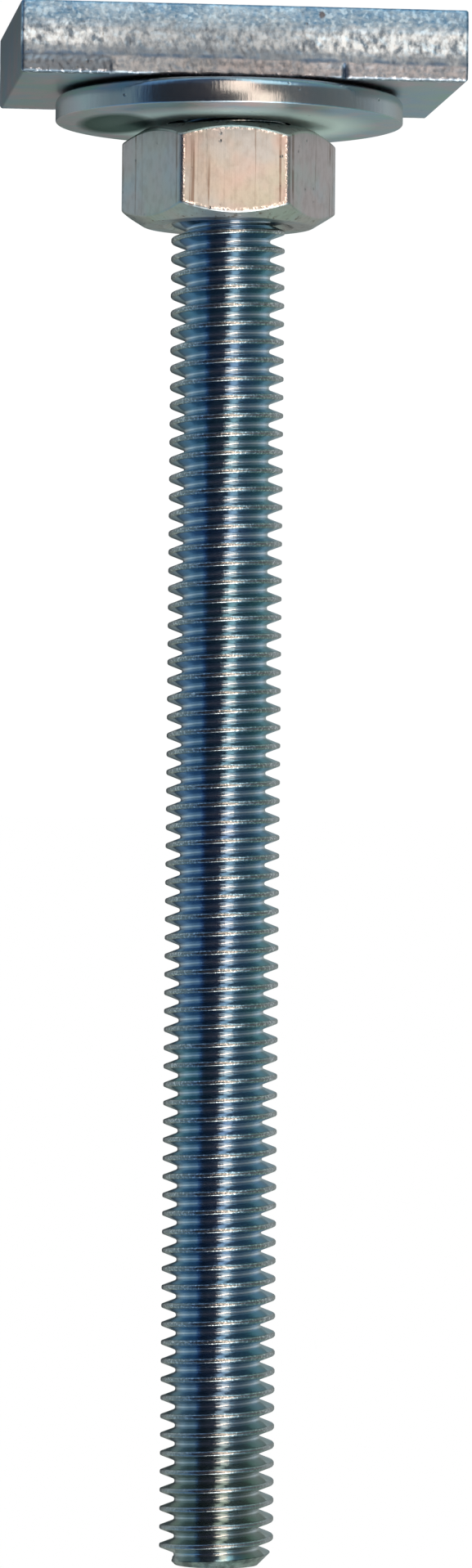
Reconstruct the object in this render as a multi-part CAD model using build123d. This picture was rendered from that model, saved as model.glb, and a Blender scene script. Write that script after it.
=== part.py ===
from build123d import *
import math
import os

# A bolt for T-slots that stands on its head: a flat plate head, a threaded stud fixed in it,
# a large flat washer and a hexagon nut run down near the head.
# Sizes are in millimetres. The origin is the middle of the head's outer face, the stud's axis is +Z
# and the head is long along X and narrow along Y.

# Head plate, sheared from flat bar
head_length = 30.0
head_width = 20.0
head_thickness = 4.8
head_corner_radius = 0.2
head_rolled_edge = 0.25
head_burr_chamfer = 0.1

# Stud: an M8 thread, drawn as a plain rod at the crests of the thread
thread_crest_diameter = 7.76
thread_pitch = 1.25
stud_reach = 100.0
stud_recess = 0.3
tip_chamfer = 1.05
foot_chamfer = 0.5

# Large flat washer, punched from sheet
washer_diameter = 23.7
washer_hole_diameter = 8.4
washer_thickness = 1.9
washer_die_roll = 0.6
washer_hole_roll = 0.2
washer_burr_chamfer = 0.12

# Hexagon nut
nut_across_flats = 12.75
nut_height = 6.5
nut_face_diameter = 11.6
nut_chamfer_angle = 32.0
nut_corner_radius = 0.4
nut_bore_clearance = 0.05
nut_countersink = 0.45

# As they were left, the washer stands a little off the head, and the nut a little off the washer
# and a little turned from the head.
washer_gap = 0.2
nut_gap = 0.4
nut_turn = 2.5

# The nut stops this many whole threads short of the stud's tip at the end of its travel.
threads_left_at_tip = 1

stud_radius = thread_crest_diameter / 2
stud_foot = stud_recess
stud_tip = head_thickness + stud_reach
washer_base = head_thickness + washer_gap
nut_base = washer_base + washer_thickness + nut_gap


def head_plate():
    """The flat bar head, with its through hole, its rolled edges and its burr side outwards."""
    block = Box(
        head_length, head_width, head_thickness, align=(Align.CENTER, Align.CENTER, Align.MIN)
    )
    block = fillet(block.edges().filter_by(Axis.Z), head_corner_radius)
    block = fillet(block.faces().sort_by(Axis.Z)[-1].edges(), head_rolled_edge)
    block = chamfer(block.faces().sort_by(Axis.Z)[0].edges(), head_burr_chamfer)
    hole = Cylinder(
        stud_radius, head_thickness, align=(Align.CENTER, Align.CENTER, Align.MIN)
    )
    return block - hole


def threaded_stud():
    """The rod from just inside the head's outer face to the chamfered tip."""
    foot_radius = stud_radius - foot_chamfer
    tip_radius = stud_radius - tip_chamfer
    outline = Polyline(
        (0, stud_foot),
        (foot_radius, stud_foot),
        (stud_radius, stud_foot + foot_chamfer),
        (stud_radius, stud_tip - tip_chamfer),
        (tip_radius, stud_tip),
        (0, stud_tip),
        close=True,
    )
    return revolve(Plane.XZ * make_face(outline), Axis.Z)


def flat_washer():
    """The punched ring: rounded by the die on the head's side, sharp on the nut's side."""
    disc = Cylinder(
        washer_diameter / 2, washer_thickness, align=(Align.CENTER, Align.CENTER, Align.MIN)
    )
    disc = fillet(disc.faces().sort_by(Axis.Z)[0].edges(), washer_die_roll)
    disc = chamfer(disc.faces().sort_by(Axis.Z)[-1].edges(), washer_burr_chamfer)
    ring = disc - Cylinder(
        washer_hole_diameter / 2, washer_thickness, align=(Align.CENTER, Align.CENTER, Align.MIN)
    )
    hole_edges = ring.edges().filter_by(GeomType.CIRCLE).group_by(Axis.Z)[-1]
    ring = chamfer(hole_edges.sort_by(SortBy.RADIUS)[0], washer_hole_roll)
    return Pos(0, 0, washer_base) * ring


def hex_nut():
    """The hexagon, crowned by a cone at each end, with rounded corners and a countersunk bore."""
    prism = extrude(RegularPolygon(nut_across_flats / 2, 6, major_radius=False), nut_height)
    prism = fillet(prism.edges().filter_by(Axis.Z), nut_corner_radius)
    face_radius = nut_face_diameter / 2
    widest = nut_across_flats / math.sqrt(3) + nut_corner_radius
    drop = (widest - face_radius) * math.tan(math.radians(nut_chamfer_angle))
    crown = Polyline(
        (0, 0),
        (face_radius, 0),
        (widest, drop),
        (widest, nut_height - drop),
        (face_radius, nut_height),
        (0, nut_height),
        close=True,
    )
    blank = prism & revolve(Plane.XZ * make_face(crown), Axis.Z)
    bore_radius = stud_radius + nut_bore_clearance
    mouth_radius = bore_radius + nut_countersink
    bore = Polyline(
        (0, 0),
        (mouth_radius, 0),
        (bore_radius, nut_countersink),
        (bore_radius, nut_height - nut_countersink),
        (mouth_radius, nut_height),
        (0, nut_height),
        close=True,
    )
    nut = blank - revolve(Plane.XZ * make_face(bore), Axis.Z)
    return Pos(0, 0, nut_base) * Rot(0, 0, nut_turn) * nut


def nut_travel():
    """How far the nut can run up the stud, in whole turns and millimetres."""
    last_thread = stud_tip - tip_chamfer - threads_left_at_tip * thread_pitch
    turns = math.floor((last_thread - nut_base - nut_height) / thread_pitch)
    return turns, turns * thread_pitch


def main():
    """Write one STEP file for each piece."""
    os.makedirs("parts", exist_ok=True)
    pieces = {
        "head_plate": head_plate(),
        "threaded_stud": threaded_stud(),
        "flat_washer": flat_washer(),
        "hex_nut": hex_nut(),
    }
    for name, piece in pieces.items():
        export_step(piece, f"parts/{name}.step")
        size = piece.bounding_box().size
        print(f"{name}: {size.X:.2f} x {size.Y:.2f} x {size.Z:.2f} mm, {piece.volume:.1f} mm3")
    turns, travel = nut_travel()
    print(f"the nut runs {turns} turns, {travel:.2f} mm")


main()
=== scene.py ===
"""The looks of a bolt for T-slots: a sheared head, a rolled thread, a punched washer and a nut."""

import logging
import math
from collections.abc import Callable, Iterator
from contextlib import contextmanager
from dataclasses import dataclass
from enum import Enum
from functools import partialmethod

import bmesh
import bpy
from mathutils import Matrix, Vector, noise


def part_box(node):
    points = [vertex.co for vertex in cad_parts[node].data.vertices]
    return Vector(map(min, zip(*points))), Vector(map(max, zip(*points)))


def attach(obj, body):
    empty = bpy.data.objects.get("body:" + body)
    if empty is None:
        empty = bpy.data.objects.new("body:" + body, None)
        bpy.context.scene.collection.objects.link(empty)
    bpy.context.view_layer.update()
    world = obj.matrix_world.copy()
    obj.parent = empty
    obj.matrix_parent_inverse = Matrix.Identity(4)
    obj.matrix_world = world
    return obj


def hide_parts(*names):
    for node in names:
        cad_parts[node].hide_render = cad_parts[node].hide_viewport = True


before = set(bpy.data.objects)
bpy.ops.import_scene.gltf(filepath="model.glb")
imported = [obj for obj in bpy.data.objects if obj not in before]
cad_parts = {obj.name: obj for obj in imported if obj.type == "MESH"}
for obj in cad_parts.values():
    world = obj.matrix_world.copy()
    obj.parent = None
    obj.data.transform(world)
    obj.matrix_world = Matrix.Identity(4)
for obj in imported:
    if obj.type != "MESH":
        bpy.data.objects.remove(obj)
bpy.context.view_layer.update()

MM = 0.001
log = logging.getLogger("bolt")

Pair = tuple[float, float]
Triple = tuple[float, float, float]
Colour = Triple
WHITE: Colour = (1.0, 1.0, 1.0)
EVEN: Triple = (1.0, 1.0, 1.0)
Ring = tuple[tuple[float, float, float, float], ...]


class Body(Enum):
    """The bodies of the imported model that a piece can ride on."""

    BOLT = "bolt"
    WASHER = "washer"
    NUT = "nut"


class Slot(Enum):
    """The material slots of the record."""

    PLATE = "plate_zinc"
    STUD = "stud_zinc"
    WASHER = "washer_zinc"
    NUT = "nut_zinc"


class Cut(Enum):
    """The ways in which one solid can shape another."""

    AWAY = "DIFFERENCE"
    COMMON = "INTERSECT"


class Workpiece:
    """A piece on the bench, with the moves that all pieces share. Lengths are in metres."""

    def __init__(self, name: str, primitive: Callable[..., object], **settings: object) -> None:
        """Add a primitive with nothing else selected.

        Args:
            name: The name for the object and for its mesh.
            primitive: The operator that adds it.
            **settings: The operator's settings.
        """
        bpy.ops.object.select_all(action="DESELECT")
        primitive(**settings)
        self.object = bpy.context.active_object
        self.object.name = name
        self.object.data.name = name

    @classmethod
    def drawn(cls, name: str, points: list[Pair]) -> "Workpiece":
        """Draw a chain of edges in the plane of X and Z, one extruded vertex after another.

        Args:
            name: The name of the new piece.
            points: The chain's points, as distance from the axis and height.

        Returns:
            The new piece, which has edges and no faces.
        """
        first = (points[0][0], 0, points[0][1])
        piece = cls(name, bpy.ops.mesh.primitive_plane_add, size=MM, location=first)
        piece.settle()
        with piece.editing():
            bpy.ops.mesh.merge(type="CENTER")
            for start, end in zip(points, points[1:]):
                step = (end[0] - start[0], 0, end[1] - start[1])
                bpy.ops.mesh.extrude_vertices_move(TRANSFORM_OT_translate={"value": step})
        return piece

    def take(self) -> None:
        """Select the piece alone and make it the active one."""
        bpy.ops.object.select_all(action="DESELECT")
        self.object.select_set(True)
        bpy.context.view_layer.objects.active = self.object

    def settle(self) -> None:
        """Apply the piece's place, turn and scale to its mesh."""
        self.take()
        bpy.ops.object.transform_apply(location=True, rotation=True, scale=True)

    @contextmanager
    def editing(self, mode: str = "VERT") -> Iterator[None]:
        """Open the piece in edit mode with all of it selected, and close it afterwards.

        Args:
            mode: What is picked: VERT or EDGE.
        """
        self.take()
        bpy.ops.object.mode_set(mode="EDIT")
        bpy.ops.mesh.select_mode(type=mode)
        bpy.ops.mesh.select_all(action="SELECT")
        yield
        bpy.ops.object.mode_set(mode="OBJECT")

    def pick_edges(self, wanted: Callable[[bmesh.types.BMEdge], bool]) -> None:
        """In edit mode, select the edges that a test names, and nothing else.

        Args:
            wanted: The test of one edge.
        """
        shape = bmesh.from_edit_mesh(self.object.data)
        for edge in shape.edges:
            edge.select_set(False)
        for edge in shape.edges:
            if wanted(edge):
                edge.select_set(True)
        bmesh.update_edit_mesh(self.object.data)

    def turn(self, steps: int) -> None:
        """Spin the piece's outline once round the Z axis, as on a lathe.

        Args:
            steps: How many facets the full turn has.
        """
        with self.editing():
            bpy.ops.mesh.spin(steps=steps, angle=2 * math.pi, center=(0, 0, 0), axis=(0, 0, 1))
        self.close_up()

    def close_up(self, distance: float = 0.0005 * MM) -> None:
        """Merge points that coincide and turn all faces outwards.

        Args:
            distance: How near two points are merged.
        """
        with self.editing():
            bpy.ops.mesh.remove_doubles(threshold=distance)
            bpy.ops.mesh.normals_make_consistent(inside=False)

    def slice_off(self, height: float, above: bool) -> None:
        """Cut the piece square across at a height and close the cut.

        Args:
            height: The height of the cut.
            above: True to take away what is above it, False what is below.
        """
        with self.editing():
            bpy.ops.mesh.bisect(
                plane_co=(0, 0, height),
                plane_no=(0, 0, 1),
                use_fill=True,
                clear_outer=above,
                clear_inner=not above,
                threshold=0.0001 * MM,
            )

    def modify(self, kind: str, **settings: object) -> None:
        """Add a modifier and apply it.

        Args:
            kind: The modifier's type.
            **settings: Its properties by name.
        """
        modifier = self.object.modifiers.new(kind, kind)
        for key, value in settings.items():
            setattr(modifier, key, value)
        self.take()
        bpy.ops.object.modifier_apply(modifier=modifier.name)

    def shape_by(self, tool: "Workpiece", cut: Cut) -> None:
        """Shape the piece by a second solid, which is then thrown away."""
        self.modify("BOOLEAN", object=tool.object, operation=cut.value, solver="EXACT")
        bpy.data.objects.remove(tool.object)

    def finish(self, angle_deg: float = 30.0) -> None:
        """Apply the piece's place, and shade faces that meet below an angle as one surface."""
        self.settle()
        bpy.ops.object.shade_smooth_by_angle(angle=math.radians(angle_deg))


@dataclass(frozen=True)
class Signal:
    """A value, colour or shader in a recipe's nodes. Plain operators add its math nodes."""

    recipe: "Recipe"
    socket: bpy.types.NodeSocket

    def work(self, operation: str, other: object = 0.0) -> "Signal":
        """Work on this number and another one by a named math operation."""
        return self.recipe.add("ShaderNodeMath", {0: self, 1: other}, operation=operation)

    __abs__ = partialmethod(work, "ABSOLUTE")
    __add__ = partialmethod(work, "ADD")
    __sub__ = partialmethod(work, "SUBTRACT")
    __mul__ = partialmethod(work, "MULTIPLY")
    __truediv__ = partialmethod(work, "DIVIDE")
    least = partialmethod(work, "MINIMUM")
    most = partialmethod(work, "MAXIMUM")

    def __rsub__(self, other: float) -> "Signal":
        """Take this away from a plain number."""
        return self.recipe.add("ShaderNodeMath", {0: other, 1: self}, operation="SUBTRACT")

    def toward(self, other: object, share: object) -> "Signal":
        """Move towards another number by a share from 0 to 1."""
        return self + (other - self) * share

    def span(self, low: float, high: float) -> "Signal":
        """Stretch the values from low to high to 0 and 1, and clamp what lies outside."""
        feeds = {"Value": self, "From Min": low, "From Max": high}
        return self.recipe.add("ShaderNodeMapRange", feeds, "Result", clamp=True)

    def between(self, low: float, high: float) -> "Signal":
        """Turn a value from 0 to 1 into one between two ends."""
        feeds = {"Value": self, "To Min": low, "To Max": high}
        return self.recipe.add("ShaderNodeMapRange", feeds, "Result")

    def reach(self, other: "Signal") -> "Signal":
        """The long side of a right-angled triangle with this and another short side."""
        return (self * self + other * other).work("SQRT")

    def also(self, output: str | int) -> "Signal":
        """Another output of the same node."""
        return Signal(self.recipe, self.socket.node.outputs[output])

    def parts(self) -> list["Signal"]:
        """The X, Y and Z of a vector."""
        first = self.recipe.add("ShaderNodeSeparateXYZ", {0: self})
        return [first, first.also(1), first.also(2)]


@dataclass(frozen=True)
class Patches:
    """Blotches of noise, which begin where it passes one level and are full at another."""

    scale: float
    begin: float
    full: float
    detail: float = 3.0
    share: float = 1.0
    stretch: Triple = EVEN


class Recipe:
    """The nodes of a material or of the world, mixed one after another."""

    MIX_SHARE, MIX_FIRST, MIX_SECOND, MIX_COLOUR = 0, 6, 7, 2

    def __init__(self, owner: bpy.types.ID, output: str = "ShaderNodeOutputMaterial") -> None:
        """Start from bare nodes.

        Args:
            owner: The material or the world.
            output: The type of its output node.
        """
        owner.use_nodes = True
        self.tree = owner.node_tree
        self.tree.nodes.clear()
        self.surface = self.tree.nodes.new(output).inputs["Surface"]

    def feed(self, target: bpy.types.NodeSocket, value: object) -> None:
        """Give an input a signal or a plain value.

        Args:
            target: The input.
            value: A signal to link from, or a number or colour.
        """
        if isinstance(value, Signal):
            self.tree.links.new(value.socket, target)
        else:
            target.default_value = (*value, 1.0) if target.type == "RGBA" else value

    def add(
        self, kind: str, feeds: dict[str | int, object], output: str | int = 0, **settings: object
    ) -> Signal:
        """Add a node.

        Args:
            kind: The node's type.
            feeds: What goes into its inputs, by their names or numbers.
            output: The name or number of the output that is wanted.
            **settings: Properties of the node by name.

        Returns:
            The output's signal.
        """
        node = self.tree.nodes.new(kind)
        for key, value in settings.items():
            setattr(node, key, value)
        for key, value in feeds.items():
            self.feed(node.inputs[key], value)
        return Signal(self, node.outputs[output])

    def coordinates(self, kind: str) -> Signal:
        """The coordinates of a kind, such as Object or Normal."""
        return self.add("ShaderNodeTexCoord", {}, kind)

    def stretched(self, factors: Triple = EVEN) -> Signal:
        """The piece's own coordinates in millimetres.

        Args:
            factors: What they are multiplied by along X, Y and Z.

        Returns:
            The coordinates.
        """
        scale = [factor / MM for factor in factors]
        feeds = {"Vector": self.coordinates("Object"), "Scale": scale}
        return self.add("ShaderNodeMapping", feeds, "Vector")

    def place(self) -> list[Signal]:
        """The place on the piece in millimetres: across, along and up."""
        return self.stretched().parts()

    def cloud(self, scale: float, detail: float = 3.0, stretch: Triple = EVEN) -> Signal:
        """Soft noise from 0 to 1, with so many blotches a millimetre and so many finer layers."""
        feeds = {"Vector": self.stretched(stretch), "Scale": scale, "Detail": detail}
        return self.add("ShaderNodeTexNoise", feeds)

    def patches(self, kind: Patches) -> Signal:
        """Blotches of noise, from 0 beside them to their full share inside."""
        noise_field = self.cloud(kind.scale, kind.detail, kind.stretch)
        return noise_field.span(kind.begin, kind.full) * kind.share

    def grains(self, scale: float, feature: str = "F1") -> Signal:
        """The distance in cells, as of crystals or pits, of which each millimetre has so many."""
        feeds = {"Vector": self.stretched(), "Scale": scale}
        return self.add("ShaderNodeTexVoronoi", feeds, "Distance", feature=feature)

    def blend(self, share: object, first: object, second: object) -> Signal:
        """Blend two colours by the second one's share, from 0 to 1."""
        feeds = {self.MIX_SHARE: share, self.MIX_FIRST: first, self.MIX_SECOND: second}
        return self.add("ShaderNodeMix", feeds, self.MIX_COLOUR, data_type="RGBA")

    def bump(self, height: Signal, depth_mm: float, **under: Signal) -> Signal:
        """Turn a height from 0 to 1 into a bumpy normal, over the Normal of coarser bumps."""
        feeds = {"Strength": 1.0, "Distance": depth_mm * MM, "Height": height}
        return self.add("ShaderNodeBump", feeds | under)

    def metal(self, colour: Signal, roughness: Signal, normal: Signal, **more: Signal) -> None:
        """Close the recipe as a metal, with more inputs of the shader by name."""
        feeds = {"Metallic": 1.0, "Base Color": colour, "Roughness": roughness, "Normal": normal}
        self.show(self.add("ShaderNodeBsdfPrincipled", feeds | more, "BSDF"))

    def shade(self, share: Signal, first: Signal, second: Signal) -> Signal:
        """Blend two shaders by the second one's share, from 0 to 1."""
        return self.add("ShaderNodeMixShader", {0: share, 1: first, 2: second})

    def show(self, shader: Signal) -> None:
        """Give a shader to the surface."""
        self.feed(self.surface, shader)


@dataclass(frozen=True)
class SatinZinc:
    """Zinc plate on steel: a cool grey with faint green and pink clouds, fine grain and pits."""

    name: str = "satin_zinc"
    grey: Colour = (0.46, 0.53, 0.55)
    green: Colour = (0.39, 0.56, 0.48)
    pink: Colour = (0.60, 0.50, 0.54)
    blue: Colour = (0.37, 0.50, 0.62)
    tint_scales: Triple = (0.16, 0.22, 0.3)
    tint_levels: Pair = (0.42, 0.62)
    grain_scale: float = 5.0
    grain_mm: float = 0.006
    pit: Colour = (0.2, 0.22, 0.22)
    pit_scale: float = 1.5
    pit_share: float = 0.12
    pit_edge: Pair = (0.08, 0.2)
    pit_mm: float = 0.02

    def material(self) -> bpy.types.Material:
        """Mix the finish as a material of its name.

        Returns:
            The material.
        """
        material = bpy.data.materials.new(self.name)
        self.paint(Recipe(material))
        return material

    def paint(self, mix: Recipe) -> None:
        """Add the finish's nodes to a bare recipe."""
        raise NotImplementedError

    def clouds(self, mix: Recipe) -> tuple[Signal, Signal]:
        """The drifting tints of the zinc and its grain.

        Args:
            mix: The recipe to add to.

        Returns:
            The colour and the grain.
        """
        colour = self.grey
        for tint, scale in zip((self.green, self.blue, self.pink), self.tint_scales):
            colour = mix.blend(mix.patches(Patches(scale, *self.tint_levels)), colour, tint)
        return colour, mix.cloud(self.grain_scale, 4.0)

    def pits(self, mix: Recipe, colour: Signal, normal: Signal) -> tuple[Signal, Signal]:
        """Scattered small pits, a little darker than the zinc round them.

        Args:
            mix: The recipe to add to.
            colour: The colour.
            normal: The normal.

        Returns:
            The colour and the normal with pits.
        """
        cells = mix.grains(self.pit_scale)
        level = 1.0 - self.pit_share
        chosen = cells.also("Color").parts()[0].span(level, level + 0.02)
        pit = chosen * (1.0 - cells.span(*self.pit_edge))
        colour = mix.blend(pit * 0.5, colour, self.pit)
        return colour, mix.bump(1.0 - pit, self.pit_mm, Normal=normal)


@dataclass(frozen=True)
class ShearMarks:
    """Where the shear rubbed, bent and tore the plate's long walls. Sizes in mm."""

    rub_end: float = 1.3
    bend_end: float = 1.85
    tear_line: float = 3.64
    tear_slope: float = -0.007
    tear_wander: float = 0.15
    set_in: float = 0.06
    lump_depth: float = 0.04
    bow_depth: float = 0.16
    bend_depth: float = 0.1
    tear_depth: float = 0.08
    tear_height: float = 0.6
    steps: tuple[Pair, ...] = ((9.0, 0.06), (2.1, -0.04), (-6.9, 0.05))
    step_width: float = 0.12
    notch: float = -6.65
    notch_width: float = 0.1
    notch_depth: float = 0.2

    @staticmethod
    def ease(share: float) -> float:
        """Go from 0 to 1 with a soft start and end."""
        return share * share * (3 - 2 * share)

    def depth(self, across: float, height: float, back: bool) -> float:
        """How far the wall is set in at one place.

        Args:
            across: The place along the wall.
            height: The height on the wall.
            back: True for the wall away from the camera.

        Returns:
            The depth.
        """
        seed = 40.0 if back else 0.0
        streak = noise.noise(Vector((across * 1.8, height * 0.8, seed)))
        lump = noise.noise(Vector((across * 0.8, height * 1.1, seed + 5)))
        grain = noise.noise(Vector((across * 3.4, height * 3.2, seed + 11)))
        wander = self.tear_wander * noise.noise(Vector((across * 0.6, seed, 3)))
        tear = self.tear_line + self.tear_slope * across + wander
        wall = self.set_in + self.lump_depth * lump + 0.012 * grain
        if height < self.rub_end:
            return wall + self.bow_depth * (1 - height / self.rub_end) ** 2
        if height < self.bend_end:
            share = (height - self.rub_end) / (self.bend_end - self.rub_end)
            return wall + self.bend_depth * self.ease(share)
        if height < tear:
            share = (tear - height) / (tear - self.bend_end)
            rough = min(1.0, (1 - share) * 5, share * 5)
            return wall + self.bend_depth * share**1.5 + rough * (0.022 * streak + 0.018 * grain)
        fall = self.ease(min(1.0, (height - tear) / self.tear_height))
        ledges = self.ledges(-across if back else across)
        return wall + (self.tear_depth + ledges + 0.02 * grain) * fall

    def ledges(self, place: float) -> float:
        """The steps and the notch of the torn part.

        Args:
            place: The place along the wall, as seen from outside.

        Returns:
            The depth that they add.
        """
        gap = (place - self.notch) / self.notch_width
        return self.notch_depth * math.exp(-gap * gap) + sum(
            rise * min(1.0, max(0.0, (place - start) / self.step_width + 0.5))
            for start, rise in self.steps
        )


@dataclass(frozen=True)
class ShearedZinc(SatinZinc):
    """Zinc on the plate: satin faces, and bands where the shear went through, in painted
    reflection, glints and shade. Sizes in mm.
    """

    name: str = "sheared_plate_zinc"
    marks: ShearMarks = ShearMarks()
    roughness: Pair = (0.24, 0.4)
    wall_roughness: Pair = (0.34, 0.56)
    wall_reach: Pair = (9.15, 9.3)
    end_reach: Pair = (14.8, 14.9)
    end_heights: Pair = (1.0, 4.6)
    end_shade: Pair = (0.7, 0.3)
    facet_mm: float = 0.018
    streak_mm: float = 0.02
    # Painted light of the walls: sky and pale stand for a mirrored sky, glint for white sparkles,
    # and dull and bright for the bent band's glitter.
    sky: Colour = (0.11, 0.24, 0.39)
    pale: Colour = (0.37, 0.51, 0.62)
    glint: Colour = (0.60, 0.84, 1.0)
    dull: Colour = (0.17, 0.23, 0.29)
    bright: Colour = (0.76, 0.90, 0.98)
    slate: Colour = (0.17, 0.21, 0.25)
    beige: Colour = (0.38, 0.43, 0.47)
    blush: Colour = (0.42, 0.45, 0.49)
    burr: Colour = (0.72, 0.78, 0.86)
    speck: Colour = (0.09, 0.06, 0.05)
    crack_shade: Colour = (0.09, 0.16, 0.26)
    glints: Patches = Patches(3.0, 0.54, 0.68, detail=1.0, share=0.45)
    dulled: Patches = Patches(2.6, 0.36, 0.66, detail=4.0, share=0.75)
    gaps: Patches = Patches(0.6, 0.42, 0.56)
    burrs: Patches = Patches(3.4, 0.54, 0.66, detail=2.0)
    specks: Patches = Patches(0.9, 0.72, 0.76, detail=2.0)
    flaw_share: float = 0.8
    mottle_levels: Pair = (0.74, 1.24)
    bent_heights: Pair = (1.6, 2.4)
    torn_heights: Pair = (3.74, 3.88)
    glitter_levels: Pair = (0.35, 0.63)
    glitter_ends: tuple[Pair, Pair] = ((8.0, 11.0), (-3.0, -6.0))
    glitter_share: Pair = (0.5, 1.1)
    glitter_heights: Pair = (2.94, 3.39)
    glitter_fade: Pair = (1.0, 0.25)
    blush_place: Pair = (2.3, 2.1)
    slate_place: Pair = (8.9, 9.1)
    gap_height: float = 3.76
    gap_reach: Pair = (0.22, 0.05)
    burr_heights: Pair = (4.5, 4.56)
    rust_place: Pair = (-5.1, 0.55)
    rust_reach: Pair = (0.44, 0.3)

    def paint(self, mix: Recipe) -> None:
        """Add the finish's nodes.

        Args:
            mix: The bare recipe.
        """
        colour, fine = self.clouds(mix)
        across, along, height = mix.place()
        wall = abs(along).span(*self.wall_reach)
        # Painted shade: the end faces darken in slate towards the plate's outer face.
        end = abs(across).span(*self.end_reach)
        painted_end_shade = end * height.span(*self.end_heights).between(*self.end_shade)
        streak = mix.cloud(2.5, 3.0, (1.0, 1.0, 0.7))
        colour = mix.blend(painted_end_shade, colour, self.slate)
        colour = mix.blend(wall, colour, self.banded(mix, streak))
        worn = mix.cloud(2.5, 4.0).between(*self.wall_roughness)
        roughness = fine.between(*self.roughness).toward(worn, wall)
        facets = mix.grains(3.0, "SMOOTH_F1").span(0.0, 0.7) * wall
        coarse = mix.bump(facets, self.facet_mm, Normal=mix.bump(streak * wall, self.streak_mm))
        colour, normal = self.pits(mix, colour, mix.bump(fine, self.grain_mm, Normal=coarse))
        mix.metal(colour, roughness, normal)

    def banded(self, mix: Recipe, streak: Signal) -> Signal:
        """The bands of a sheared wall: rubbed, in a painted sky reflection with glints; bent, in
        painted glitter; then torn.

        Args:
            mix: The recipe to add to.
            streak: The noise of the shear's streaks.

        Returns:
            The colour.
        """
        across, _, height = mix.place()
        # Painted reflection: the rubbed band's blue mottle and white glints copy the sky and
        # sparkle that it mirrors.
        mottle = mix.cloud(0.4, 2.0, (0.7, 1.0, 1.3)) + mix.cloud(3.6, 2.0, (0.8, 1.0, 1.2))
        painted_reflection = mix.blend(mottle.span(*self.mottle_levels), self.sky, self.pale)
        painted_reflection = mix.blend(mix.patches(self.glints), painted_reflection, self.glint)
        level = height + across * -self.marks.tear_slope + mix.cloud(1.2, 3.0) * 0.3
        # Painted highlight: bright glitter specks over the bent band's dull ground.
        right, left = (across.span(*end) for end in self.glitter_ends)
        glitter = streak.span(*self.glitter_levels) * right.most(left).between(*self.glitter_share)
        glitter = glitter * level.span(*self.glitter_heights).between(*self.glitter_fade)
        middle = mix.blend(glitter, self.dull, self.bright)
        bent = (height + mix.cloud(0.9, 4.0) * 0.9).span(*self.bent_heights)
        torn = level.span(*self.torn_heights)
        low = mix.blend(across.span(*self.blush_place), self.beige, self.blush)
        low = mix.blend(across.span(*self.slate_place), low, self.slate)
        low = mix.blend(mix.patches(self.dulled), low, self.dull)
        banded = mix.blend(torn, mix.blend(bent, painted_reflection, middle), low)
        return self.flawed(mix, banded, level, torn)

    def flawed(self, mix: Recipe, colour: Signal, level: Signal, torn: Signal) -> Signal:
        """The cracks and the notch in painted shade, the burr with a painted highlight, and the
        rust of a sheared wall.

        Args:
            mix: The recipe to add to.
            colour: The colour of the bands.
            level: The height, as the sloping tear counts it.
            torn: How far the wall is torn, from 0 to 1.

        Returns:
            The colour.
        """
        across, _, height = mix.place()
        # Painted shade: the tear's gaps and the notch are painted dark.
        gap = abs(level - self.gap_height).span(*self.gap_reach) * mix.patches(self.gaps)
        width = self.marks.notch_width
        notch = abs(across - self.marks.notch).span(width * 1.4, width * 0.7) * torn
        colour = mix.blend(gap.most(notch) * self.flaw_share, colour, self.crack_shade)
        # Painted highlight: the real burr along the wall's top edge is painted bright as a sparkle.
        burr = height.span(*self.burr_heights) * mix.patches(self.burrs)
        colour = mix.blend(burr, colour, self.burr)
        off_rust = (across - self.rust_place[0]).reach(height - self.rust_place[1])
        rust = (off_rust + mix.cloud(3.0, 2.0) * 0.3).span(*self.rust_reach)
        return mix.blend(mix.patches(self.specks).most(rust) * self.flaw_share, colour, self.speck)


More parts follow.
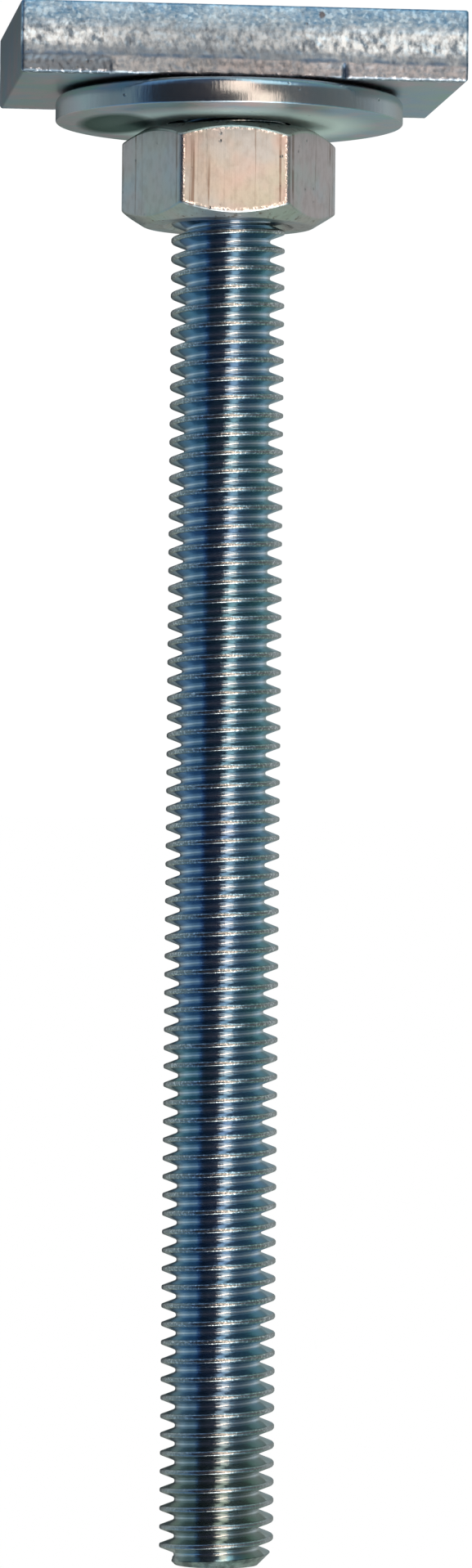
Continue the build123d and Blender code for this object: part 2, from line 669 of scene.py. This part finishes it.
@dataclass(frozen=True)
class NutZinc(SatinZinc):
    """Zinc on the nut: satin, with the die's upright marks on its flats and painted glints on their
    edges. Sizes in mm.
    """

    name: str = "drawn_nut_zinc"
    grey: Colour = (0.49, 0.49, 0.46)
    green: Colour = (0.46, 0.51, 0.46)
    pink: Colour = (0.52, 0.47, 0.46)
    blue: Colour = (0.45, 0.51, 0.54)
    scratch: Colour = (0.20, 0.15, 0.12)
    # Near white, for the painted glints on the worn edges.
    worn: Colour = (0.98, 0.98, 1.0)
    pit_share: float = 0.3
    roughness: Pair = (0.26, 0.42)
    worn_roughness: float = 0.12
    drawn_levels: Pair = (0.6, 0.66)
    drawn_mm: float = 0.016
    worn_mm: float = 0.006
    drawn: Patches = Patches(0.5, 0.3, 0.5)
    mottle: Patches = Patches(2.2, 0.46, 0.66, detail=5.0, share=0.18, stretch=(1.0, 1.0, 0.6))
    specks: Patches = Patches(6.0, 0.44, 0.62, detail=2.0)
    speck_share: float = 0.85
    base: float = 7.3
    top: float = 13.8
    face_radius: float = 5.8
    crown_rise: float = 0.625
    rim_reach: Pair = (0.3, 0.12)
    corner_reach: Pair = (7.2, 7.24)
    facing_levels: Pair = (0.9, 0.96)

    def paint(self, mix: Recipe) -> None:
        """Add the finish's nodes.

        Args:
            mix: The bare recipe.
        """
        colour, fine = self.clouds(mix)
        drawn = mix.cloud(2.6, 3.0, (1, 1, 0.02))
        scratch = drawn.span(*self.drawn_levels) * mix.patches(self.drawn) * 0.8
        colour = mix.blend(scratch, colour, self.scratch)
        colour = mix.blend(mix.patches(self.mottle), colour, self.scratch)
        # Painted highlight: near-white glints on the worn edges of the front and back flats.
        glitter = self.glitter(mix)
        colour = mix.blend(glitter, colour, self.worn)
        normal = mix.bump(drawn, self.drawn_mm, Normal=mix.bump(fine, self.grain_mm * 0.6))
        colour, normal = self.pits(mix, colour, mix.bump(glitter, self.worn_mm, Normal=normal))
        roughness = fine.between(*self.roughness).toward(self.worn_roughness, glitter)
        mix.metal(colour, roughness, normal)

    def glitter(self, mix: Recipe) -> Signal:
        """Bright specks along the edges of the front and back flats: worn bare, and painted near
        white as glints.

        Args:
            mix: The recipe to add to.

        Returns:
            How bright the specks are, from 0 to 1.
        """
        across, along, height = mix.place()
        reach = across.reach(along)
        drop = (reach - self.face_radius) * self.crown_rise
        rim = abs((height - self.base - drop).least(self.top - drop - height))
        edge = rim.span(*self.rim_reach).most(reach.span(*self.corner_reach))
        facing = abs(mix.coordinates("Normal").parts()[1]).span(*self.facing_levels)
        return facing * (edge * mix.patches(self.specks)) * self.speck_share


@dataclass(frozen=True)
class PunchedZinc(SatinZinc):
    """Zinc on the washer: a rubbed face with a painted reflection and a painted shadow of the nut,
    a smooth rim, a seam in painted shadow. Sizes in mm.
    """

    name: str = "punched_washer_zinc"
    seam_shadow: Colour = (0.05, 0.04, 0.05)
    painted_nut_shadow: Colour = (0.20, 0.26, 0.24)
    nut_shadow_edge: Colour = (0.24, 0.28, 0.26)
    nut_shadow_place: Pair = (7.7, 0.6)
    nut_shadow_size: Pair = (2.4, 5.2)
    nut_shadow_fade: Pair = (1.35, 0.7)
    rim_shade: Colour = (0.37, 0.43, 0.45)
    rim_roughness: Pair = (0.15, 0.26)
    face_roughness: Pair = (0.28, 0.42)
    worn_roughness: float = 0.55
    painted_reflection: Colour = (0.74, 0.86, 0.82)
    painted_reflection_reach: Pair = (10.2, 7.6)
    rubbed_mm: float = 0.014
    face_heights: Pair = (6.72, 6.74)
    seam_heights: Pair = (5.0, 4.94)

    def paint(self, mix: Recipe) -> None:
        """Add the finish's nodes.

        Args:
            mix: The bare recipe.
        """
        colour, fine = self.clouds(mix)
        across, along, height = mix.place()
        # Painted shadow: a dark band along the seam, where the washer meets the plate.
        seam_shadow_mask = (height + mix.cloud(1.5, 3.0) * -0.12).span(*self.seam_heights)
        on_face = height.span(*self.face_heights)
        colour = mix.blend((1.0 - on_face) * 0.8, colour, self.rim_shade)
        colour = mix.blend(seam_shadow_mask, colour, self.seam_shadow)
        # Painted reflection: a pale ring round the nut's seat copies the nut's lit flat mirrored in
        # the face.
        worn = across.reach(along).span(*self.painted_reflection_reach) * on_face
        colour = mix.blend(worn, colour, self.painted_reflection)
        # Painted shadow: a dark ellipse beside the nut, also in the edge tint, copies the nut's
        # shadow on the face.
        aside = (across - self.nut_shadow_place[0]) / self.nut_shadow_size[0]
        ahead = (along - self.nut_shadow_place[1]) / self.nut_shadow_size[1]
        nut_shadow_mask = (aside * aside + ahead * ahead).span(*self.nut_shadow_fade) * on_face
        colour = mix.blend(nut_shadow_mask, colour, self.painted_nut_shadow)
        rim, face = fine.between(*self.rim_roughness), fine.between(*self.face_roughness)
        roughness = rim.toward(face, on_face).toward(self.worn_roughness, seam_shadow_mask.most(worn))
        normal = mix.bump(fine, self.grain_mm * 0.5)
        normal = mix.bump(mix.cloud(3.0, 3.0, (1, 1, 0.15)), self.rubbed_mm, Normal=normal)
        colour, normal = self.pits(mix, colour, normal)
        edge = {"Specular Tint": mix.blend(nut_shadow_mask, WHITE, self.nut_shadow_edge)}
        mix.metal(colour, roughness, normal, **edge)


@dataclass(frozen=True)
class ThreadZinc(SatinZinc):
    """Zinc on the thread: smooth flanks, crests left rough by the rolling, and painted shade on its
    sides and end. Sizes in mm.
    """

    name: str = "rolled_thread_zinc"
    blue: Colour = (0.42, 0.55, 0.70)
    teal: Colour = (0.40, 0.57, 0.64)
    blue_side_shade: Colour = (0.32, 0.47, 0.63)
    teal_side_shade: Colour = (0.32, 0.51, 0.56)
    root: Colour = (0.58, 0.68, 0.77)
    crest: Colour = (0.62, 0.66, 0.68)
    crest_dark: Colour = (0.27, 0.31, 0.32)
    tip: Colour = (0.475, 0.55, 0.54)
    tip_side_shade: Colour = (0.43, 0.475, 0.43)
    tip_crest: Colour = (0.34, 0.37, 0.37)
    end: Colour = (0.14, 0.165, 0.17)
    flecks: Patches = Patches(6.5, 0.5, 0.66, detail=2.0)
    end_shade_patches: Patches = Patches(1.6, 0.72, 0.4, detail=4.0)
    green_slope: float = -0.02
    green_levels: Pair = (0.4, 0.65)
    side_shade_turn: Pair = (0.22, 0.5)
    crest_radii: Pair = (3.64, 3.74)
    root_radii: Pair = (2.97, 2.91)
    root_share: Pair = (0.8, 0.2)
    tip_heights: Pair = (90.0, 99.0)
    end_faces: Pair = (104.7, 104.78)
    end_cones: Pair = (107.45, 107.58)
    roughness: Pair = (0.1, 0.2)
    rough_mm: float = 0.009

    def paint(self, mix: Recipe) -> None:
        """Add the finish's nodes.

        Args:
            mix: The bare recipe.
        """
        across, along, height = mix.place()
        radius = across.reach(along)
        on_crest = radius.span(*self.crest_radii)
        at_root = radius.span(*self.root_radii)
        # The drift leans greener towards -X: a painted reflection tint.
        drift = (mix.cloud(0.12, 3.0) + across * self.green_slope).span(*self.green_levels)
        aged = height.span(*self.tip_heights) * 0.85
        colour = mix.blend(aged, mix.blend(drift, self.blue, self.teal), self.tip)
        # Painted shade: towards its two sides along X the thread is darker and bluer.
        side = mix.blend(aged, mix.blend(drift, self.blue_side_shade, self.teal_side_shade), self.tip_side_shade)
        colour = mix.blend(abs(across / radius).span(*self.side_shade_turn), colour, side)
        colour = mix.blend(at_root * aged.between(*self.root_share), colour, self.root)
        crest = mix.blend(mix.patches(self.flecks), self.crest_dark, self.crest)
        colour = mix.blend(on_crest, colour, mix.blend(aged * 0.8, crest, self.tip_crest))
        # Painted shade: the end face and cone darken in patches.
        at_end = (height + radius).span(*self.end_cones).most(height.span(*self.end_faces))
        colour = mix.blend(at_end * mix.patches(self.end_shade_patches), colour, self.end)
        fine = mix.cloud(4.0, 4.0)
        rough = mix.cloud(8.0, 2.0) * on_crest.most(at_root * 0.6)
        normal = mix.bump(rough, self.rough_mm, Normal=mix.bump(fine, self.grain_mm))
        mix.metal(colour, fine.between(*self.roughness) + on_crest * 0.05, normal)


@dataclass
class HeadPlate:
    """The head: flat bar, sheared on its long sides, with a hole for the stud. Sizes in mm."""

    marks: ShearMarks = ShearMarks()
    corner_radius: float = 0.2
    rolled_edge: float = 0.25
    burr_chamfer: float = 0.1
    corner_facets: int = 4
    roll_facets: int = 5
    hole_facets: int = 96
    wall_cell: float = 0.1
    end_cell: float = 0.32
    end_fade: float = 1.5
    crease_deg: float = 40.0

    def build(self) -> bpy.types.Object:
        """Model the plate in the place of its CAD node.

        Returns:
            The plate.
        """
        low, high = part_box("head_plate")
        size = high - low
        name, foot = "sheared_plate_head", (0, 0, low.z)
        plate = Workpiece(name, bpy.ops.mesh.primitive_plane_add, size=1, location=foot)
        plate.object.scale = (size.x, size.y, 1)
        plate.settle()
        with plate.editing():
            offset, facets = self.corner_radius * MM, self.corner_facets
            bpy.ops.mesh.bevel(offset=offset, affect="VERTICES", segments=facets)
        with plate.editing("EDGE"):
            bpy.ops.mesh.delete(type="ONLY_FACE")
            cuts = round(math.sqrt(size.x / (self.wall_cell * MM))) - 1
            plate.pick_edges(lambda e: e.calc_length() > size.y)
            bpy.ops.mesh.subdivide(number_cuts=cuts)
            bpy.ops.mesh.subdivide(number_cuts=cuts)
            plate.pick_edges(lambda e: e.calc_length() > size.y / 2)
            bpy.ops.mesh.subdivide(number_cuts=round(size.y / (self.end_cell * MM)))
            bpy.ops.mesh.select_all(action="SELECT")
            layers = self.layers(size.z / MM)
            for lower, upper in zip(layers, layers[1:]):
                rise = (0, 0, (upper - lower) * MM)
                bpy.ops.mesh.extrude_region_move(TRANSFORM_OT_translate={"value": rise})
        for vertex in plate.object.data.vertices:
            vertex.co = self.worn(vertex.co, size)
        self.close_with_hole(plate, low.z, high.z)
        plate.finish(self.crease_deg)
        return plate.object

    def layers(self, thickness: float) -> list[float]:
        """The heights of the wall's rows of faces, closer together at the edges.

        Args:
            thickness: The plate's thickness.

        Returns:
            Heights from 0 up.
        """
        edge = thickness - self.rolled_edge
        tall = edge - self.burr_chamfer
        rows = round(tall / self.wall_cell)
        walls = [self.burr_chamfer + tall * row / rows for row in range(rows + 1)]
        angles = [90 / self.roll_facets * step for step in range(1, self.roll_facets + 1)]
        turns = [math.radians(angle) for angle in angles]
        return [0.0, *walls, *(edge + self.rolled_edge * math.sin(turn) for turn in turns)]

    def worn(self, point: Vector, size: Vector) -> Vector:
        """Move a point of the plain bar to its place on the sheared one.

        Args:
            point: A point of the plain bar.
            size: The bar's size.

        Returns:
            The point, drawn in at the rounded edges and on the sheared walls.
        """
        across, along, height = point / MM
        half = size / 2 / MM
        centre = Vector((half.x - self.corner_radius, half.y - self.corner_radius))
        beyond = Vector((abs(across) - centre.x, abs(along) - centre.y))
        if beyond.x > 0 and beyond.y > 0:
            outward = beyond.normalized()
        elif beyond.x > beyond.y:
            outward = Vector((1, 0))
        else:
            outward = Vector((0, 1))
        drawn_in = max(0.0, self.burr_chamfer - height)
        rise = height - (size.z / MM - self.rolled_edge)
        if rise > 0:
            drawn_in += self.rolled_edge - math.sqrt(max(0.0, self.rolled_edge**2 - rise**2))
        share = min(1.0, max(0.0, 1 + beyond.y / self.end_fade))
        sheared_in = share * self.marks.depth(across, height, along > 0)
        across -= math.copysign(outward.x * drawn_in, across)
        along -= math.copysign(outward.y * drawn_in + sheared_in, along)
        return Vector((across, along, height)) * MM

    def close_with_hole(self, plate: Workpiece, base: float, top: float) -> None:
        """Give the walls their two faces, with the hole that holds the stud through both.

        Args:
            plate: The plate's walls.
            base: The height of its outer face.
            top: The height of its inner face.
        """
        stud_low, stud_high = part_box("threaded_stud")
        radius = (stud_high.x - stud_low.x) / 2
        near = 0.001 * MM
        with plate.editing("EDGE"):
            bpy.ops.mesh.select_all(action="DESELECT")
            facets, rise = self.hole_facets, (0, 0, top - base)
            bpy.ops.mesh.primitive_circle_add(vertices=facets, radius=radius, location=(0, 0, base))
            bpy.ops.mesh.extrude_region_move(TRANSFORM_OT_translate={"value": rise})
            for level in (base, top):
                plate.pick_edges(
                    lambda e: e.is_boundary and all(abs(v.co.z - level) < near for v in e.verts)
                )
                bpy.ops.mesh.fill(use_beauty=True)
        plate.close_up(0.01 * near)


@dataclass
class ThreadedStud:
    """The stud: a rod with a rolled right-hand thread over its whole length. Sizes in mm."""

    pitch: float = 1.25
    thread_depth: float = 1.0
    crest_height: float = 1.016
    tip_chamfer: float = 1.05
    foot_chamfer: float = 0.5
    facets: int = 72
    crease_deg: float = 48.0
    side: tuple[Pair, ...] = (
        (1.00, 0.500), (0.99, 0.440), (0.92, 0.385), (0.14, 0.148), (0.05, 0.118), (0.00, 0.062)
    )

    def profile(self, crest: float, middle: float) -> list[Pair]:
        """One pitch of the thread's outline, from root to root, with rounded root and crest.

        Args:
            crest: The crest's radius in metres.
            middle: The crest's height in metres.

        Returns:
            Points as distance from the axis and height, in metres.
        """
        pitch, depth = self.pitch * MM, self.thread_depth * MM
        lower = [(crest - share * depth, -height * pitch) for share, height in self.side]
        outline = lower + [(radius, -height) for radius, height in reversed(lower)]
        return [(radius, height + middle) for radius, height in outline]

    def build(self) -> bpy.types.Object:
        """Model the stud in the place of its CAD node.

        Returns:
            The stud.
        """
        low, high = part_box("threaded_stud")
        crest = (high.x - low.x) / 2
        pitch = self.pitch * MM
        start = self.crest_height * MM
        while start > low.z - pitch:
            start -= pitch
        turns = math.ceil((high.z - start) / pitch) + 1
        stud = Workpiece.drawn("rolled_thread_stud", self.profile(crest, start))
        wind = {"axis": "Z", "angle": 2 * math.pi, "screw_offset": pitch, "iterations": turns}
        facets = {"steps": self.facets, "render_steps": self.facets, "use_smooth_shade": False}
        stud.modify("SCREW", **wind, **facets)
        stud.close_up()
        stud.slice_off(low.z, above=False)
        stud.slice_off(high.z, above=True)
        self.turn_ends(stud.object, crest)
        stud.close_up()
        stud.finish(self.crease_deg)
        return stud.object

    def turn_ends(self, stud: bpy.types.Object, crest: float) -> None:
        """Take the thread down to a cone at each end.

        Args:
            stud: The threaded rod.
            crest: The crest's radius.
        """
        low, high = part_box("threaded_stud")
        for vertex in stud.data.vertices:
            reach = math.hypot(vertex.co.x, vertex.co.y)
            room = min(
                crest - self.tip_chamfer * MM + (high.z - vertex.co.z),
                crest - self.foot_chamfer * MM + (vertex.co.z - low.z),
            )
            if reach > room:
                vertex.co.x *= room / reach
                vertex.co.y *= room / reach


@dataclass
class FlatWasher:
    """The washer: a punched ring, rounded by the die on the head's side. Sizes in mm."""

    hole_diameter: float = 8.4
    die_roll: float = 0.6
    hole_roll: float = 0.2
    burr_radius: float = 0.12
    seat_radius: float = 6.0
    dish: float = 0.12
    facets: int = 180

    def build(self) -> bpy.types.Object:
        """Model the washer in the place of its CAD node.

        Returns:
            The washer.
        """
        low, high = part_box("flat_washer")
        rim = (high.x - low.x) / 2
        hole = self.hole_diameter / 2 * MM
        roll = self.die_roll * MM
        burr = self.burr_radius * MM
        mouth = self.hole_roll * MM
        outline = [
            (hole, low.z),
            *self.corner(rim - roll, low.z + roll, roll, range(-90, 1, 15)),
            *self.corner(rim - burr, high.z - burr - self.dish * MM, burr, range(0, 91, 30)),
            (self.seat_radius * MM, high.z),
            (hole + mouth, high.z),
            (hole, high.z - mouth),
            (hole, low.z),
        ]
        washer = Workpiece.drawn("punched_washer", outline)
        washer.turn(self.facets)
        washer.finish()
        return washer.object

    @staticmethod
    def corner(reach: float, height: float, radius: float, angles: range) -> list[Pair]:
        """A rounded corner's points, from its centre and radius, at degrees up from outwards."""
        turns = (math.radians(angle) for angle in angles)
        return [(reach + radius * math.cos(t), height + radius * math.sin(t)) for t in turns]


@dataclass
class HexNut:
    """The nut: a hexagon crowned by a cone at each end, with a plain bore. Sizes in mm."""

    across_flats: float = 12.75
    face_diameter: float = 11.6
    chamfer_angle_deg: float = 32.0
    corner_radius: float = 0.4
    corner_facets: int = 4
    turned_deg: float = 2.5
    bore_clearance: float = 0.05
    countersink: float = 0.45
    soft_edge: float = 0.09
    soft_angle_deg: float = 25.0
    spare: float = 0.5
    crown_facets: int = 144
    bore_facets: int = 96

    def build(self) -> bpy.types.Object:
        """Model the nut in the place of its CAD node.

        Returns:
            The nut.
        """
        low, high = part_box("hex_nut")
        height = high.z - low.z
        corner = self.across_flats / math.sqrt(3) * MM
        size = {"vertices": 6, "radius": corner, "depth": height}
        middle = (0, 0, (low.z + high.z) / 2)
        add = bpy.ops.mesh.primitive_cylinder_add
        nut = Workpiece("crowned_hex_nut", add, location=middle, **size)
        first = nut.object.data.vertices[0].co
        away = math.degrees(math.atan2(first.y, first.x)) % 60
        nut.object.rotation_euler.z = math.radians(self.turned_deg - away)
        nut.settle()
        with nut.editing("EDGE"):
            nut.pick_edges(lambda e: abs(e.verts[0].co.z - e.verts[1].co.z) > height / 2)
            offset = self.corner_radius * math.tan(math.radians(30)) * MM
            bpy.ops.mesh.bevel(offset=offset, segments=self.corner_facets)
        ends = (low.z, high.z)
        nut.shape_by(self.turned("crown", ends, self.crown(corner), self.crown_facets), Cut.COMMON)
        nut.shape_by(self.turned("drill", ends, self.drill(), self.bore_facets), Cut.AWAY)
        nut.close_up()
        nut.finish()
        limit = {"limit_method": "ANGLE", "angle_limit": math.radians(self.soft_angle_deg)}
        nut.modify("BEVEL", width=self.soft_edge * MM, segments=2, use_clamp_overlap=True, **limit)
        return nut.object

    def crown(self, corner: float) -> list[Pair]:
        """The cone that crowns each end of the hexagon.

        Args:
            corner: The radius of the hexagon's sharp corners.

        Returns:
            Points as distance from the axis and from the nut's face inwards.
        """
        face, wide = self.face_diameter / 2 * MM, corner + self.spare * MM
        drop = (wide - face) * math.tan(math.radians(self.chamfer_angle_deg))
        return [(0, 0), (face, 0), (wide, drop)]

    def drill(self) -> list[Pair]:
        """The countersunk bore at each end.

        Returns:
            Points as distance from the axis and from the nut's face inwards.
        """
        low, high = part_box("threaded_stud")
        bore = (high.x - low.x) / 2 + self.bore_clearance * MM
        sink, over = self.countersink * MM, self.spare * MM
        return [(0, -over), (bore + sink + over, -over), (bore, sink)]

    @staticmethod
    def turned(name: str, ends: Pair, outline: list[Pair], facets: int) -> Workpiece:
        """Turn a solid that is the same at both ends.

        Args:
            name: The solid's name.
            ends: The heights of the nut's two faces.
            outline: One end, as distance from the axis and from the nut's face inwards.
            facets: How many facets the full turn has.

        Returns:
            The solid.
        """
        lower = [(reach, ends[0] + inward) for reach, inward in outline]
        upper = [(reach, ends[1] - inward) for reach, inward in reversed(outline)]
        solid = Workpiece.drawn(name, lower + upper)
        solid.turn(facets)
        return solid


@dataclass(frozen=True)
class LightTent:
    """The walls that shiny metal mirrors. Directions are degrees round the bolt from its front."""

    level: Ring = (
        (-180, 0.05, 0.065, 0.07), (-176, 0.15, 0.17, 0.155), (-170, 0.27, 0.33, 0.35),
        (-150, 0.38, 0.40, 0.38), (-121, 0.66, 0.68, 0.70), (-85, 0.30, 0.30, 0.29),
        (-55, 0.18, 0.19, 0.20), (-20, 0.22, 0.20, 0.19), (14, 0.055, 0.05, 0.065),
        (57, 0.035, 0.038, 0.05), (66, 0.06, 0.13, 0.27), (71, 0.27, 0.36, 0.42),
        (90, 0.26, 0.34, 0.38), (118, 0.50, 0.59, 0.63), (150, 0.34, 0.36, 0.36),
        (168, 0.07, 0.085, 0.09), (180, 0.05, 0.065, 0.07),
    )
    above: Ring = (
        (-180, 0.42, 0.46, 0.43), (-135, 0.46, 0.54, 0.48), (-95, 0.26, 0.44, 0.36),
        (-62, 0.16, 0.28, 0.40), (-46, 0.20, 0.34, 0.46), (-34, 1.30, 1.80, 2.00),
        (-12, 1.30, 1.80, 2.00), (2, 0.10, 0.14, 0.18), (10, 0.04, 0.04, 0.06),
        (53, 0.03, 0.04, 0.07), (60, 0.12, 0.26, 0.52), (104, 0.26, 0.44, 0.60),
        (135, 0.46, 0.54, 0.48), (180, 0.42, 0.46, 0.43),
    )
    below: Ring = (
        (-180, 0.60, 0.68, 0.74), (-135, 0.62, 0.70, 0.70), (-95, 0.36, 0.58, 0.50),
        (-62, 0.22, 0.36, 0.50), (-46, 0.30, 0.44, 0.60), (-34, 1.40, 1.90, 2.10),
        (-12, 1.40, 1.90, 2.10), (2, 0.14, 0.19, 0.25), (10, 0.07, 0.09, 0.14),
        (52, 0.05, 0.07, 0.13), (60, 0.18, 0.36, 0.70), (104, 0.34, 0.54, 0.74),
        (135, 0.62, 0.70, 0.70), (180, 0.60, 0.68, 0.74),
    )
    above_reach: Pair = (0.12, 0.55)
    below_reach: Pair = (-0.3, -0.62)
    window_heights: Pair = (-0.12, -0.06)
    window_aims: Pair = (-0.5, -15.5)
    window_half_width: Pair = (12.5, 8.0)
    window_reach: Pair = (0.9, 0.7)
    window_light: Colour = (2.8, 2.1, 1.68)

    def colour(self, sky: Recipe) -> Signal:
        """Paint the tent.

        Args:
            sky: The world's recipe.

        Returns:
            The tent's colour in each direction.
        """
        across, along, height = sky.coordinates("Generated").parts()
        degrees = across.work("ARCTAN2", along * -1.0) * (180.0 / math.pi)
        walls = self.ring(sky, degrees, self.level)
        for reach, stops in ((self.above_reach, self.above), (self.below_reach, self.below)):
            walls = sky.blend(height.span(*reach), walls, self.ring(sky, degrees, stops))
        aim = height.span(*self.window_heights).between(*self.window_aims)
        window = abs(degrees - aim).span(*self.window_half_width)
        window = window * abs(height).span(*self.window_reach)
        return sky.blend(window, walls, self.window_light)

    @staticmethod
    def ring(sky: Recipe, degrees: Signal, stops: Ring) -> Signal:
        """Paint one ring of the tent.

        Args:
            sky: The world's recipe.
            degrees: The direction.
            stops: The directions, each with its colour.

        Returns:
            The ring's colour.
        """
        ramp = sky.add("ShaderNodeValToRGB", {"Fac": degrees.span(-180.0, 180.0)})
        points = ramp.socket.node.color_ramp.elements
        points[0].position, points[0].color = 0.0, (*stops[0][1:], 1.0)
        points[1].position, points[1].color = 1.0, (*stops[-1][1:], 1.0)
        for direction, *colour in stops[1:-1]:
            points.new((direction + 180.0) / 360.0).color = (*colour, 1.0)
        return ramp


@dataclass
class Studio:
    """A pale floor, a white room, a soft lamp and the photograph's camera. Lengths in mm."""

    photo_height: int = 1917
    focal_px: float = 7468.5
    sensor: float = 36.0
    clip_m: Pair = (0.01, 20.0)
    camera_place: Triple = (45.436, -413.437, 59.73)
    azimuth_deg: float = 6.393
    elevation_deg: float = 1.094
    roll_deg: float = 0.527
    floor_size: float = 8000.0
    floor_colour: Colour = (0.84, 0.87, 0.9)
    floor_white: float = 0.92
    floor_glow: float = 1.05
    room_colour: Colour = (0.9, 0.95, 1.0)
    room_light: float = 0.75
    lamp_place: Triple = (-63, -284, 650)
    lamp_size: Pair = (320, 500)
    lamp_watts: float = 1.9
    lamp_colour: Colour = (1.0, 0.98, 0.95)
    lamp_target: Triple = (0, 0, 50)

    def camera(self) -> None:
        """Set the camera: it hangs upside down, as the photograph shows the bolt head up."""
        data = bpy.data.cameras.new("camera")
        data.sensor_fit = "AUTO"
        data.sensor_width = self.sensor
        data.lens = self.focal_px / self.photo_height * self.sensor
        data.clip_start, data.clip_end = self.clip_m
        camera = bpy.data.objects.new("camera", data)
        bpy.context.scene.collection.objects.link(camera)
        turn, lift = math.radians(self.azimuth_deg), math.radians(self.elevation_deg)
        level = Vector((-math.sin(turn), math.cos(turn), 0)) * math.cos(lift)
        ahead = level - Vector((0, 0, math.sin(lift)))
        right = ahead.cross(Vector((0, 0, -1))).normalized()
        up = right.cross(ahead)
        roll = math.radians(self.roll_deg)
        tilted_right = math.cos(roll) * right + math.sin(roll) * up
        tilted_up = math.cos(roll) * up - math.sin(roll) * right
        turned = Matrix((tilted_right, tilted_up, -ahead)).transposed().to_4x4()
        camera.matrix_world = Matrix.Translation(Vector(self.camera_place) * MM) @ turned
        bpy.context.scene.camera = camera

    def floor(self) -> None:
        """Lay the pale floor: the camera sees it white but for the bolt's soft shadow."""
        side = self.floor_size * MM
        floor = Workpiece("floor", bpy.ops.mesh.primitive_plane_add, size=side).object
        material = bpy.data.materials.new("pale_floor")
        mix = Recipe(material)
        matt = mix.add("ShaderNodeBsdfDiffuse", {"Color": self.floor_colour})
        white = mix.add("ShaderNodeEmission", {"Color": WHITE, "Strength": self.floor_glow})
        seen = mix.add("ShaderNodeLightPath", {}, "Is Camera Ray") * self.floor_white
        mix.show(mix.shade(seen, matt, white))
        material.cycles.emission_sampling = "NONE"
        floor.data.materials.append(material)
        floor.visible_glossy = False

    def room(self) -> None:
        """Make the room: white behind the bolt, soft on matt faces, a tent for the metal."""
        world = bpy.data.worlds.new("room")
        bpy.context.scene.world = world
        sky = Recipe(world, "ShaderNodeOutputWorld")
        world.cycles.sampling_method = "NONE"
        kind = "ShaderNodeBackground"
        soft = sky.add(kind, {"Color": self.room_colour, "Strength": self.room_light})
        white = sky.add(kind, {"Color": WHITE})
        mirrored = sky.add(kind, {"Color": LightTent().colour(sky)})
        shiny = sky.add("ShaderNodeLightPath", {}, "Is Glossy Ray")
        seen = shiny.also("Is Camera Ray").most(shiny.also("Is Transmission Ray"))
        sky.show(sky.shade(seen, sky.shade(shiny, soft, mirrored), white))

    def lamp(self) -> None:
        """Hang one soft lamp that faces the middle of the bolt."""
        data = bpy.data.lights.new("ceiling", "AREA")
        data.shape = "RECTANGLE"
        data.size, data.size_y = (side * MM for side in self.lamp_size)
        data.energy = self.lamp_watts
        data.color = self.lamp_colour
        lamp = bpy.data.objects.new("ceiling", data)
        bpy.context.scene.collection.objects.link(lamp)
        lamp.location = Vector(self.lamp_place) * MM
        way = Vector(self.lamp_target) * MM - lamp.location
        lamp.rotation_euler = way.to_track_quat("-Z", "Y").to_euler()
        lamp.visible_camera = False

    def build(self) -> None:
        """Set up the whole studio."""
        self.floor()
        self.room()
        self.lamp()
        self.camera()
        bpy.context.scene.view_settings.view_transform = "Standard"


def place(
    piece: bpy.types.Object, body: Body, node: str, slot: Slot, finish: bpy.types.Material
) -> None:
    """Dress a finished piece and hand it to the frame.

    Args:
        piece: The piece.
        body: The body that it rides on.
        node: The CAD node that it stands for.
        slot: The record's material slot; not used.
        finish: Its material.
    """
    piece.data.materials.clear()
    piece.data.materials.append(finish)
    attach(piece, body.value)
    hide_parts(node)
    low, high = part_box(node)
    faces = len(piece.data.polygons)
    log.info("%s stands for %s, %d faces, node %s to %s", piece.name, node, faces, low, high)


def main() -> None:
    """Build the bolt's pieces in order, then the studio."""
    logging.basicConfig(level=logging.INFO, format="%(name)s: %(message)s")
    pieces = (
        (HeadPlate(), Body.BOLT, "head_plate", Slot.PLATE, ShearedZinc()),
        (ThreadedStud(), Body.BOLT, "threaded_stud", Slot.STUD, ThreadZinc()),
        (FlatWasher(), Body.WASHER, "flat_washer", Slot.WASHER, PunchedZinc()),
        (HexNut(), Body.NUT, "hex_nut", Slot.NUT, NutZinc()),
    )
    for kind, body, node, slot, finish in pieces:
        place(kind.build(), body, node, slot, finish.material())
    Studio().build()


if __name__ == "__main__":
    main()
